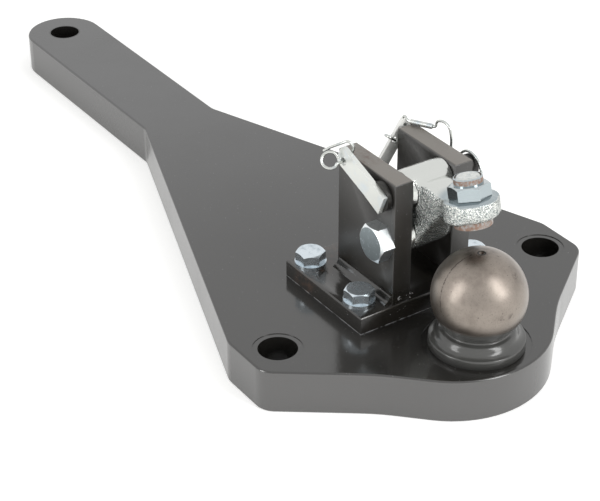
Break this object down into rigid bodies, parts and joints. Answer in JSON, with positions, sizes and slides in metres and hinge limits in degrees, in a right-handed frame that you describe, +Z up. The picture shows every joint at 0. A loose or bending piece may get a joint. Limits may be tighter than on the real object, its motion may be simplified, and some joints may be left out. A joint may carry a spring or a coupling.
{
  "type": "hitch mounting plate",
  "caption": "Thick steel hitch mounting plate with a tow ball and a bolted clevis bracket that holds a swivel casting by a cross bolt and a lock pin.",
  "frame": {"origin": "where the axis of the tow ball meets the underside of the plate", "axes": "+X from the end of the arm towards the ball, +Y from the handle side to the other side, +Z up"},
  "size_m": [0.5125, 0.213, 0.1192],
  "materials": {
    "plate_paint": "worn grey paint",
    "ball_steel": "bare steel, darker below",
    "bracket_paint": "dark grey paint",
    "weld_metal": "weld bead",
    "zinc": "bright zinc plating",
    "casting_grey": "granular grey casting",
    "handle_nickel": "bright plating",
    "nut_insert": "plastic locking ring"
  },
  "bodies": {
    "frame": {"bracket_base": "bracket_paint", "bracket_bolt_front_far": "zinc", "bracket_bolt_front_near": "zinc", "bracket_bolt_rear_far": "zinc", "bracket_bolt_rear_near": "zinc", "cross_bolt": "zinc", "cross_nut": "zinc", "cross_nut_ring": "nut_insert", "eye_bolt": "zinc", "eye_nut": "zinc", "eye_nut_ring": "nut_insert", "far_cheek": "bracket_paint", "far_tab": "zinc", "hitch_plate": "plate_paint", "near_cheek": "bracket_paint", "spring_washer_front_far": "zinc", "spring_washer_front_near": "zinc", "spring_washer_rear_far": "zinc", "spring_washer_rear_near": "zinc", "swivel_casting": "casting_grey", "tether_sleeve": "handle_nickel", "tether_wire": "handle_nickel", "tow_ball": "ball_steel", "weld_far": "weld_metal", "weld_near": "weld_metal"},
    "lock_pin": {"lock_pin": "handle_nickel", "lock_pin_handle": "handle_nickel"},
    "handle_wire": {"handle_wire": "handle_nickel"},
    "far_tab_link": {"far_tab_link": "zinc"}
  },
  "joints": [
    {"name": "lock_pin_draw", "type": "slide", "parent": "frame", "child": "lock_pin", "axis": [0, -1, 0], "range_m": [0, 0.06]},
    {"name": "handle_wire_swing", "type": "hinge", "parent": "lock_pin", "child": "handle_wire", "pos_m": [-0.0764, -0.03006, 0.10597], "axis": [0, 1, 0], "range_deg": [-170, 35]},
    {"name": "far_tab_link_swing", "type": "hinge", "parent": "frame", "child": "far_tab_link", "pos_m": [-0.093, 0.01362, 0.09801], "axis": [1, 0, 0], "range_deg": [-40, 40]}
  ]
}
